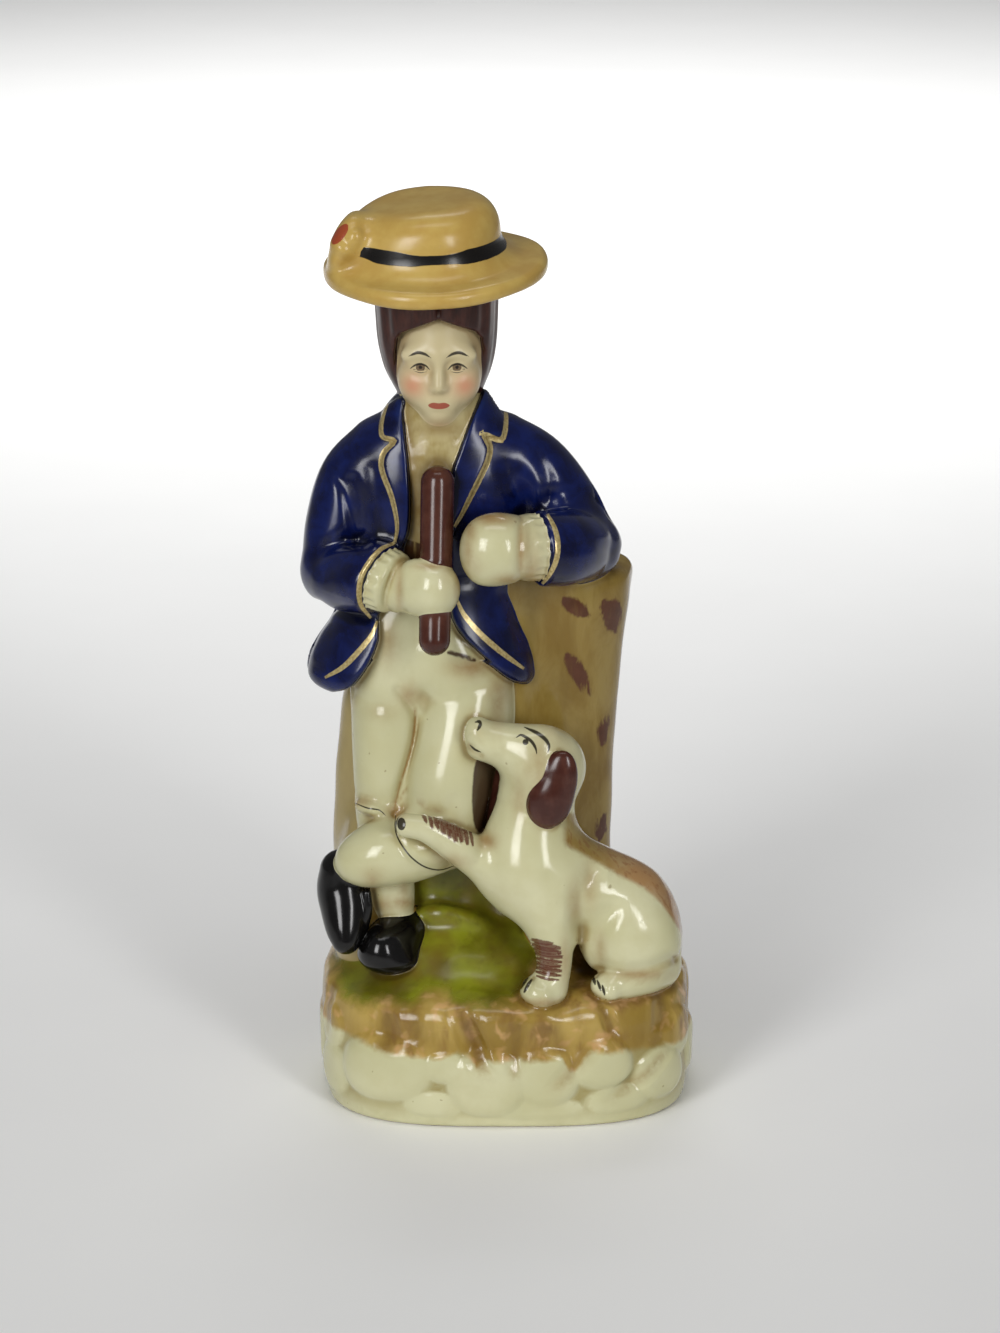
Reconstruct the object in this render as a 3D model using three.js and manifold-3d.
// A glazed earthenware chimney figure: a young man in a straw hat and a blue jacket stands cross-legged
// against a tree stump, holding a short staff upright, while his dog sits beside him and puts a paw on his leg.
// The whole group is one casting on an oval rocky base, so it is one closed solid.
// Millimetres, +Z up, front towards -Y, origin at the middle of the flat underside.
import * as THREE from "three";
import { mergeVertices } from "three/addons/utils/BufferGeometryUtils.js";
import Module from "manifold-3d";

// ---------------------------------------------------------------- driving dimensions
const BASE_RX = 44.9, // half width of the oval base
  BASE_RY = 33.7, // half depth of the oval base
  FOOT_SQUARE = 3.0, // how square the base is at its foot
  RIM_SQUARE = 2.35, // and at its rim
  BASE_RIM_Z = 28.6, // height of the base's rim
  BASE_TOP_Z = 31.5, // height of the ground in the middle
  FOOT_ROUND = 2.0, // rounding of the foot
  ROCK_RELIEF = 0.9, // depth of the rocks modelled round the base
  STUMP_TOP_Z = 129.8, // where the arm leans
  STUMP_LEFT = -39.6, // left edge of the stump
  STUMP_RIGHT = 29.6, // right edge at its top
  STUMP_BACK = 27.0, // back of the stump
  BODY_X = -17.5, // middle of the standing figure
  WAIST_Z = 121,
  SHOULDER_Z = 160,
  HEM_Z = 103, // hem of the jacket
  HEM_RX = 26.5,
  HEM_RY = 16.8,
  HEAD = { x: -15.3, y: 1.2, z: 178.5 },
  HAT_X = -16.2, // middle of the hat
  HAT_Y = 1.0,
  HAT_Z = 200.4, // height of the brim where the crown starts
  BRIM_R = 26.0,
  BRIM_THICK = 3.0,
  BRIM_DROP = 2.2, // how far the edge of the brim hangs below the crown's foot
  CROWN_R = 17.4,
  CROWN_H = 15.0,
  HAT_TIP_DEG = 5.8, // the hat tips forward
  HAT_LEAN_DEG = -2.0, // and a little to its left in the picture
  STAFF_R = 3.85,
  STAFF_TOP = [-15.6, -12.3, 152.0],
  STAFF_FOOT = [-16.4, -20.8, 117.0],
  PAW_X = -23.0, // where the raised paw touches the leg
  DOG_BODY_R = 12.0,
  DOG_HEAD_R = 8.9,
  SIDES = 11; // sides of a round limb

// ---------------------------------------------------------------- solids
const wasm = await Module();
wasm.setup();
const { sin, cos, PI, hypot, pow, abs, sign, sqrt, min, max } = Math;
const V = (p) => new THREE.Vector3(...p);
const rad = THREE.MathUtils.degToRad;

// A closed three.js geometry as a solid that booleans can use.
function solid(geometry) {
  const g = geometry.index ? geometry.toNonIndexed() : geometry.clone();
  g.deleteAttribute("normal");
  g.deleteAttribute("uv");
  const m = mergeVertices(g, 1e-4);
  const s = new wasm.Manifold(
    new wasm.Mesh({
      numProp: 3,
      vertProperties: m.attributes.position.array,
      triVerts: new Uint32Array(m.index.array),
    }),
  );
  if (s.volume() < 0) throw new Error("inside out");
  return s;
}

// Every vertex of a geometry moved by f(vertex).
function shaped(geometry, f) {
  const p = geometry.attributes.position,
    v = new THREE.Vector3();
  for (let i = 0; i < p.count; i++) {
    v.fromBufferAttribute(p, i);
    f(v);
    p.setXYZ(i, v.x, v.y, v.z);
  }
  return geometry;
}

// An ellipsoid, turned by degrees about X, Y and Z.
function ball(centre, radii, turn = [0, 0, 0], sides = SIDES) {
  const g = new THREE.SphereGeometry(1, sides, max(6, sides * 0.5) | 0);
  g.rotateX(PI / 2);
  g.applyMatrix4(
    new THREE.Matrix4().compose(
      V(centre),
      new THREE.Quaternion().setFromEuler(new THREE.Euler(...turn.map(rad))),
      V(radii),
    ),
  );
  return solid(g);
}

// A round limb along a smooth line through the given points, its radius following the given ones, with round ends.
// flat squeezes the section towards `side`.
function limb(points, radii, { rows = 2, sides = SIDES, caps = 2, flat = 1, side = [0, 1, 0] } = {}) {
  const line = new THREE.CatmullRomCurve3(points.map(V), false, "centripetal"),
    n = (points.length - 1) * rows,
    total = n + 2 * caps;
  const radiusAt = (t) => {
    const u = t * (radii.length - 1),
      i = min(radii.length - 2, u | 0),
      f = u - i,
      e = f * f * (3 - 2 * f);
    return radii[i] * (1 - e) + radii[i + 1] * e;
  };
  const g = new THREE.CylinderGeometry(1, 1, 1, sides, total, false);
  const across = V(side).normalize();
  return solid(
    shaped(g, (v) => {
      const row = Math.round((0.5 + v.y) * total);
      let t = min(1, max(0, (row - caps) / n)),
        r = radiusAt(t),
        out = 0;
      if (row < caps) out = -cos((row / caps) * (PI / 2));
      if (row > total - caps) out = cos(((total - row) / caps) * (PI / 2));
      const k = sqrt(max(0, 1 - out * out)) * r,
        c = line.getPoint(t),
        d = line.getTangent(t),
        a = across.clone().addScaledVector(d, -across.dot(d)).normalize(),
        b = a.clone().cross(d);
      const x = v.x,
        z = v.z;
      v.copy(c)
        .addScaledVector(d, out * r)
        .addScaledVector(b, z * k)
        .addScaledVector(a, x * k * flat);
    }),
  );
}

// A body built up in level sections: [z, middle x, middle y, half width, half depth, squareness].
function stacked(sections, sides = 20, rows = 2) {
  const n = (sections.length - 1) * rows;
  const g = new THREE.CylinderGeometry(1, 1, 1, sides, n, false);
  const at = (t) => {
    const u = t * (sections.length - 1),
      i = min(sections.length - 2, u | 0),
      f = u - i,
      p = (j) => sections[min(sections.length - 1, max(0, j))];
    return p(0).map((_, k) => {
      const m0 = (p(i + 1)[k] - p(i - 1)[k]) / 2,
        m1 = (p(i + 2)[k] - p(i)[k]) / 2,
        f2 = f * f,
        f3 = f2 * f;
      return (
        (2 * f3 - 3 * f2 + 1) * p(i)[k] + (f3 - 2 * f2 + f) * m0 + (3 * f2 - 2 * f3) * p(i + 1)[k] + (f3 - f2) * m1
      );
    });
  };
  return solid(
    shaped(g, (v) => {
      const [z, cx, cy, rx, ry, e] = at(min(1, max(0, v.y + 0.5))),
        r = hypot(v.x, v.z),
        c = r ? v.z / r : 0,
        s = r ? v.x / r : 0,
        q = 2 / e;
      v.set(cx + r * max(0.4, rx) * sign(c) * pow(abs(c), q), cy + r * max(0.4, ry) * sign(s) * pow(abs(s), q), z);
    }),
  );
}

// ---------------------------------------------------------------- base and ground
function base() {
  const profile = [
    [0, 0],
    [BASE_RX - FOOT_ROUND - 1.0, 0],
    [BASE_RX - 1.6, 0.6],
    [BASE_RX - 0.9, FOOT_ROUND],
    [BASE_RX - 0.5, 7],
    [BASE_RX - 0.2, 12],
    [BASE_RX - 0.3, 17],
    [BASE_RX - 0.8, 21.5],
    [BASE_RX - 1.7, 25.4],
    [BASE_RX - 3.4, BASE_RIM_Z - 0.6],
    [BASE_RX - 6.4, BASE_RIM_Z + 0.8],
    [BASE_RX * 0.62, BASE_TOP_Z],
    [0, BASE_TOP_Z + 1.5],
  ].map(([r, z]) => new THREE.Vector2(r, z));
  const g = new THREE.LatheGeometry(profile, 36);
  g.rotateX(PI / 2);
  return solid(
    shaped(g, (v) => {
      const a = Math.atan2(v.y, v.x),
        r = hypot(v.x, v.y),
        wall = min(1, max(0, (v.z - 3) / 6)) * min(1, max(0, (r - BASE_RX + 8) / 6)),
        front = max(0, -sin(a)),
        rocks = sin(a * 9 + v.z * 0.22) * 0.6 + sin(a * 5 - v.z * 0.35 + 1.3) * 0.5;
      const k = r * (1 + (wall * ROCK_RELIEF * (rocks - 0.5) * (0.35 + 0.65 * front)) / BASE_RX),
        q = 2 / (FOOT_SQUARE + (RIM_SQUARE - FOOT_SQUARE) * min(1, max(0, (v.z - 8) / 18)));
      v.x = k * sign(cos(a)) * pow(abs(cos(a)), q);
      v.y = k * sign(sin(a)) * pow(abs(sin(a)), q) * (BASE_RY / BASE_RX);
    }),
  );
}
// The ground rises in a mound towards the stump, steeper behind than in front.
function mound() {
  const g = new THREE.SphereGeometry(1, 18, 9);
  g.rotateX(PI / 2);
  shaped(g, (v) => v.set(-7.5 + v.x * 35.5, 6 + v.y * (v.y > 0 ? 24 : 31), max(6, 21.5 + v.z * 24.8)));
  return solid(g).add(ball([2, 10, 44], [23, 14.5, 14.5], [0, 0, 0], 12));
}
// The clay that closes the space behind the hanging foot, and the one under the arm that leans.
const rootFill = () => ball([-33.4, 1.5, 44], [8.2, 12.5, 25], [0, 0, 0], 12);
const armFill = () => ball([6.0, 6.0, 126.5], [14, 9.4, 12], [0, 0, 0], 12);

// ---------------------------------------------------------------- stump
const STUMP_MID = (STUMP_LEFT + STUMP_RIGHT) / 2 - 2;
const stump = () =>
  stacked(
    [
      [22, STUMP_MID, 11.5, 34.5, 17.5, 2.3],
      [40, STUMP_MID, 11.5, 33.4, 16.8, 2.4],
      [56, STUMP_MID - 0.9, 11.5, 32.4, 15.8, 2.5],
      [76, STUMP_MID - 0.2, 11.6, 32.2, 15.2, 2.5],
      [94, -6, 12, 32.4, 14.6, 2.5],
      [108, -2.5, 12.2, 30.4, 14.2, 2.4],
      [118, 3.6, 12, 25.2, 13.6, 2.4],
      [STUMP_TOP_Z - 3.4, 7.0, 11.8, 22.9, 12.8, 2.5],
      [STUMP_TOP_Z, 7.4, 11.6, 19.8, 10.4, 2.4],
    ],
    24,
    1,
  );

// ---------------------------------------------------------------- legs and shoes
const standingLeg = () =>
  limb(
    [
      [-26.6, 2.5, 108],
      [-26.8, 0.2, 93],
      [-27.4, -2.6, 79],
      [-29.0, -4.6, 69],
      [-28.2, -5.4, 58],
      [-26.6, -6.2, 48],
      [-26.4, -6.4, 40],
    ],
    [10.2, 10.0, 8.6, 6.8, 5.6, 4.3, 4.0],
    { rows: 2 },
  );
const crossedThigh = () =>
  limb(
    [
      [-8.6, 2.4, 110],
      [-8.4, 0.6, 97],
      [-9.2, -3.6, 82],
      [-11.4, -7.6, 69.5],
    ],
    [10.4, 11.2, 11.0, 9.2],
  );
const crossedCalf = () =>
  limb(
    [
      [-12.6, -9.0, 64.6],
      [-21.0, -12.0, 63.6],
      [-29.0, -13.4, 62.0],
      [-36.0, -12.8, 59.8],
    ],
    [7.8, 8.5, 8.3, 4.9],
  );
const hangingShoe = () =>
  limb(
    [
      [-38.8, -10.0, 56.8],
      [-38.0, -12.5, 48.6],
      [-37.9, -13.4, 39.9],
    ],
    [5.4, 6.3, 3.3],
    { flat: 1.0 },
  );
const standingShoe = () =>
  limb(
    [
      [-23.6, -5.4, 39.4],
      [-26.8, -10.6, 38.4],
      [-29.4, -14.4, 37.8],
    ],
    [5.6, 6.5, 5.3],
    { flat: 0.95, side: [0, 0, 1] },
  );
const hips = () =>
  stacked([
    [94, -19.4, 2, 14, 9, 2.4],
    [103, -19.0, 2, 19.0, 11.0, 2.4],
    [113, -18.6, 2, 19.0, 11.4, 2.3],
    [124, -18.2, 2.4, 17.0, 10.6, 2.2],
  ]);

// ---------------------------------------------------------------- jacket
const torso = () =>
  stacked(
    [
      [112, -18.6, 2.6, 17.6, 11.0, 2.2],
      [WAIST_Z, -18.6, 2.8, 18.2, 11.8, 2.2],
      [132, -18.0, 3.2, 20.2, 12.8, 2.2],
      [144, -17.0, 3.6, 22.6, 13.2, 2.3],
      [153, BODY_X + 1.0, 3.8, 23.4, 12.4, 2.3],
      [SHOULDER_Z, BODY_X + 1.6, 3.8, 20.6, 10.6, 2.3],
      [166, -15.2, 3.6, 12.6, 8.8, 2.1],
      [170, -15.0, 3.4, 8.6, 7.6, 2.0],
    ],
    24,
    1,
  );
// The skirt of the jacket: a bell over the hips, open in front where the edges curve back to the sides.
function skirt() {
  const bell = stacked(
    [
      [HEM_Z - 3.0, BODY_X - 2.0, 2.6, HEM_RX - 3.4, HEM_RY - 2.8, 2.2],
      [HEM_Z - 2.0, BODY_X - 2.2, 2.6, HEM_RX - 1.0, HEM_RY - 0.8, 2.2],
      [HEM_Z + 0.6, BODY_X - 2.2, 2.6, HEM_RX, HEM_RY, 2.2],
      [109, BODY_X - 1.9, 2.6, 25.0, 14.8, 2.2],
      [117, BODY_X - 1.3, 2.6, 21.8, 12.8, 2.2],
      [126, BODY_X - 0.9, 2.8, 19.0, 12.0, 2.2],
    ],
    26,
    1,
  );
  const opening = new THREE.Shape();
  opening.moveTo(-38.4, HEM_Z - 8);
  opening.lineTo(-36.2, HEM_Z - 1.6);
  opening.quadraticCurveTo(-30.6, HEM_Z + 5.6, -28.4, 113.6);
  opening.lineTo(-22, 126);
  opening.lineTo(-15.4, 122);
  opening.quadraticCurveTo(-9, 112, 2.4, HEM_Z - 0.4);
  opening.lineTo(3.4, HEM_Z - 8);
  const g = new THREE.ExtrudeGeometry(opening, { depth: 30, bevelEnabled: false, curveSegments: 5 });
  g.rotateX(PI / 2);
  g.translate(0, 1.5, 0);
  return bell.subtract(solid(g));
}
// Collar and lapels: a raised band down each side of the open neck.
const lapel = (way) =>
  limb(
    way
      ? [
          [-24.2, 4.5, 167],
          [-26.6, -3.4, 160.4],
          [-26.0, -7.6, 150],
          [-23.6, -9.8, 139],
        ]
      : [
          [-5.8, 4.5, 168.4],
          [-3.2, -3.4, 162.4],
          [-5.8, -8.6, 152],
          [-11.0, -10.8, 139],
        ],
    [2.6, 3.2, 3.0, 1.8],
    { flat: 0.7, sides: 8, rows: 2 },
  );

// ---------------------------------------------------------------- arms and hands
const rightArm = () =>
  limb(
    [
      [-31.4, 4.2, 152.6],
      [-36.4, 3.0, 141.6],
      [-39.0, 0.2, 126.8],
    ],
    [9.6, 9.0, 8.6],
  ).add(
    limb(
      [
        [-39.0, 0.2, 127.2],
        [-36.2, -6.4, 127.6],
        [-32.2, -11.2, 128.7],
      ],
      [8.7, 8.8, 8.6],
    ),
  );
const leftArm = () =>
  limb(
    [
      [0.2, 4.6, 154.0],
      [9.8, 4.6, 145.0],
      [17.2, 2.8, 132.4],
    ],
    [10.6, 9.8, 9.7],
  ).add(
    limb(
      [
        [17.0, 2.6, 132.6],
        [14.2, -5.0, 134.6],
        [9.6, -11.4, 136.0],
      ],
      [9.3, 9.1, 8.6],
    ),
  );
const rightHand = () =>
  limb(
    [
      [-31.0, -12.8, 129.0],
      [-26.8, -15.2, 128.6],
      [-22.6, -16.6, 128.0],
    ],
    [6.9, 7.3, 6.2],
    { rows: 2 },
  ).add(ball([-16.8, -18.1, 127.9], [6.7, 6.7, 7.0]));
const leftHand = () =>
  limb(
    [
      [7.6, -12.6, 136.5],
      [3.0, -14.8, 137.0],
    ],
    [7.6, 7.9],
    { rows: 2 },
  ).add(ball([-2.4, -16.9, 137.3], [8.6, 7.3, 8.4]));
const staff = () => limb([STAFF_FOOT, STAFF_TOP], [STAFF_R - 0.25, STAFF_R], { rows: 2 });

// ---------------------------------------------------------------- head and hat
const neck = () =>
  limb(
    [
      [-15.6, 1.6, 155],
      [-15.4, 1.2, 163],
      [-15.2, 1.0, 170],
    ],
    [9.0, 7.2, 6.6],
    { rows: 2 },
  );
const head = () => ball([HEAD.x, HEAD.y - 0.8, HEAD.z - 0.4], [10.8, 11.4, 14.8], [0, 0, 0], 16);
const nose = () => limb([[HEAD.x, -10.6, 179.6], [HEAD.x, -12.0, 174.8]], [0.9, 1.5], { sides: 8, rows: 1 });
// A straight bob, as wide as the hat's head opening, tapering in at the jaw and the nape.
const hair = () =>
  stacked(
    [
      [163.0, -15.6, 6.6, 6.4, 5.4, 2.0],
      [165.4, -15.7, 5.8, 9.8, 7.6, 2.1],
      [170.5, -15.8, 4.6, 12.0, 9.6, 2.2],
      [178.0, -16.0, 3.8, 13.7, 10.4, 2.3],
      [188.0, -16.2, 3.0, 14.2, 11.2, 2.3],
      [196.0, -16.3, 2.2, 14.4, 12.6, 2.2],
      [201.0, -16.3, 1.6, 14.6, 13.4, 2.1],
    ],
    18,
    1,
  );
function hat() {
  const p = [
    [0, -4],
    [CROWN_R - 3, -4],
    [CROWN_R + 1.5, -2.6 - BRIM_THICK / 2],
    [BRIM_R - 2.4, -BRIM_DROP - BRIM_THICK / 2 - 0.5],
    [BRIM_R - 0.5, -BRIM_DROP - 0.9],
    [BRIM_R, -BRIM_DROP + 0.3],
    [BRIM_R - 0.7, -BRIM_DROP + BRIM_THICK / 2],
    [BRIM_R - 3.0, -BRIM_DROP + BRIM_THICK / 2 + 0.9],
    [CROWN_R + 2.4, -0.2],
    [CROWN_R + 0.3, 0.6],
    [CROWN_R - 0.2, 3.2],
    [CROWN_R, 6.6],
    [CROWN_R - 1.4, 10.4],
    [CROWN_R - 4.6, 13.6],
    [CROWN_R - 9.6, CROWN_H - 0.3],
    [0, CROWN_H],
  ].map(([r, z]) => new THREE.Vector2(r, z));
  const g = new THREE.LatheGeometry(p, 24);
  g.rotateX(PI / 2);
  // The crown leans a little towards the side that is away from the bow, and is lower over the bow.
  shaped(g, (v) => {
    const inner = min(1, max(0, (BRIM_R - 1 - hypot(v.x, v.y)) / 6));
    v.x *= 1 + inner * (v.x < 0 ? 0.13 : -0.07);
    if (v.z > 3) v.z -= (max(0, -v.x - 1) * 0.12 + pow(max(0, -v.x - 6), 2) * 0.012) * min(1, (v.z - 3) / 8);
  });
  g.rotateY(rad(HAT_LEAN_DEG));
  g.rotateX(rad(HAT_TIP_DEG));
  g.translate(HAT_X, HAT_Y, HAT_Z);
  return solid(g).add(ball([-35.3, -7.2, 206.4], [3.5, 6.0, 5.2], [0, 25, 0]));
}

// ---------------------------------------------------------------- dog
function dog() {
  const parts = [
    // trunk, chest and haunch
    limb(
      [
        [5.6, -15.6, 61],
        [13.6, -14.2, 55.8],
        [21.6, -13.1, 52.0],
        [28.6, -11.8, 45.6],
        [30.4, -11.2, 39.6],
      ],
      [11.2, DOG_BODY_R, 11.4, 11.6, 11.4],
      { sides: 12 },
    ),
    ball([29.4, -18.0, 40.4], [11.6, 8.0, 11.4], [0, -20, 0]),
    // neck and head
    limb(
      [
        [6.0, -15.2, 62],
        [6.6, -14.4, 74.4],
        [8.4, -14.3, 83],
      ],
      [11.0, 9.6, 9.2],
      { sides: 12 },
    ),
    ball([10.0, -14.6, 84.4], [DOG_HEAD_R - 0.7, 7.6, DOG_HEAD_R - 0.7]),
    limb(
      [
        [7.9, -14.9, 86.2],
        [1.2, -15.4, 88.2],
        [-5.4, -15.6, 91.6],
      ],
      [7.6, 6.4, 4.1],
      { sides: 12 },
    ),
    // ears
    limb(
      [
        [12.6, -22.4, 86.6],
        [11.0, -23.4, 79.0],
        [9.6, -23.0, 74.6],
      ],
      [4.4, 6.0, 5.0],
      { flat: 0.42, side: [0, 1, 0], sides: 12 },
    ),
    limb(
      [
        [-2.4, -7.6, 82],
        [-5.0, -7.4, 75],
        [-5.6, -8.6, 68.6],
      ],
      [3.0, 4.0, 3.2],
      { flat: 0.8, sides: 10 },
    ),
    // near foreleg and paw
    limb(
      [
        [8.6, -19.0, 54],
        [11.4, -22.2, 45],
        [11.0, -23.8, 38],
        [10.4, -24.4, 33.6],
      ],
      [8.2, 5.4, 4.1, 4.4],
      { sides: 10 },
    ),
    ball([8.6, -25.6, 32.6], [5.4, 5.6, 3.9]),
    // raised foreleg, its paw on the crossed leg
    limb(
      [
        [-0.4, -15.4, 59.4],
        [-9.0, -18.0, 64.4],
        [-16.6, -20.4, 69.6],
        [PAW_X, -21.8, 72.4],
      ],
      [7.2, 5.0, 4.0, 3.1],
      { sides: 10 },
    ),
    // hind feet
    limb(
      [
        [24.2, -22.4, 32.6],
        [30.0, -21.4, 33.0],
        [36.4, -17.6, 34.6],
      ],
      [3.7, 4.0, 4.8],
      { sides: 10, rows: 1 },
    ),
    limb(
      [
        [23.0, -6.4, 33.6],
        [32.0, -6.0, 35.0],
      ],
      [4.0, 5.4],
      { sides: 10, rows: 1 },
    ),
  ];
  return parts.reduce((a, b) => a.add(b));
}

// ---------------------------------------------------------------- one casting
const pieces = [
  base, mound, rootFill, armFill, stump, hips, standingLeg, crossedThigh, crossedCalf, hangingShoe, standingShoe,
  torso, skirt, () => lapel(true), () => lapel(false), rightArm, leftArm, rightHand, leftHand, staff,
  neck, head, nose, hair, hat, dog,
];
const whole = pieces.map((make) => make()).reduce((a, b) => a.add(b));

function geometryOf(s) {
  const m = s.getMesh(),
    n = m.numProp,
    v = new Float32Array(m.numVert * 3);
  for (let i = 0; i < m.numVert; i++) v.set(m.vertProperties.subarray(i * n, i * n + 3), i * 3);
  const g = new THREE.BufferGeometry();
  g.setAttribute("position", new THREE.BufferAttribute(v, 3));
  g.setIndex(new THREE.BufferAttribute(new Uint32Array(m.triVerts), 1));
  g.computeVertexNormals();
  return g;
}

const group = new THREE.Group();
const figure = new THREE.Mesh(
  geometryOf(whole),
  new THREE.MeshStandardMaterial({ color: 0xd8d3b4, roughness: 0.15, metalness: 0.0 }),
);
figure.name = "figure_with_dog";
group.add(figure);
export default group;
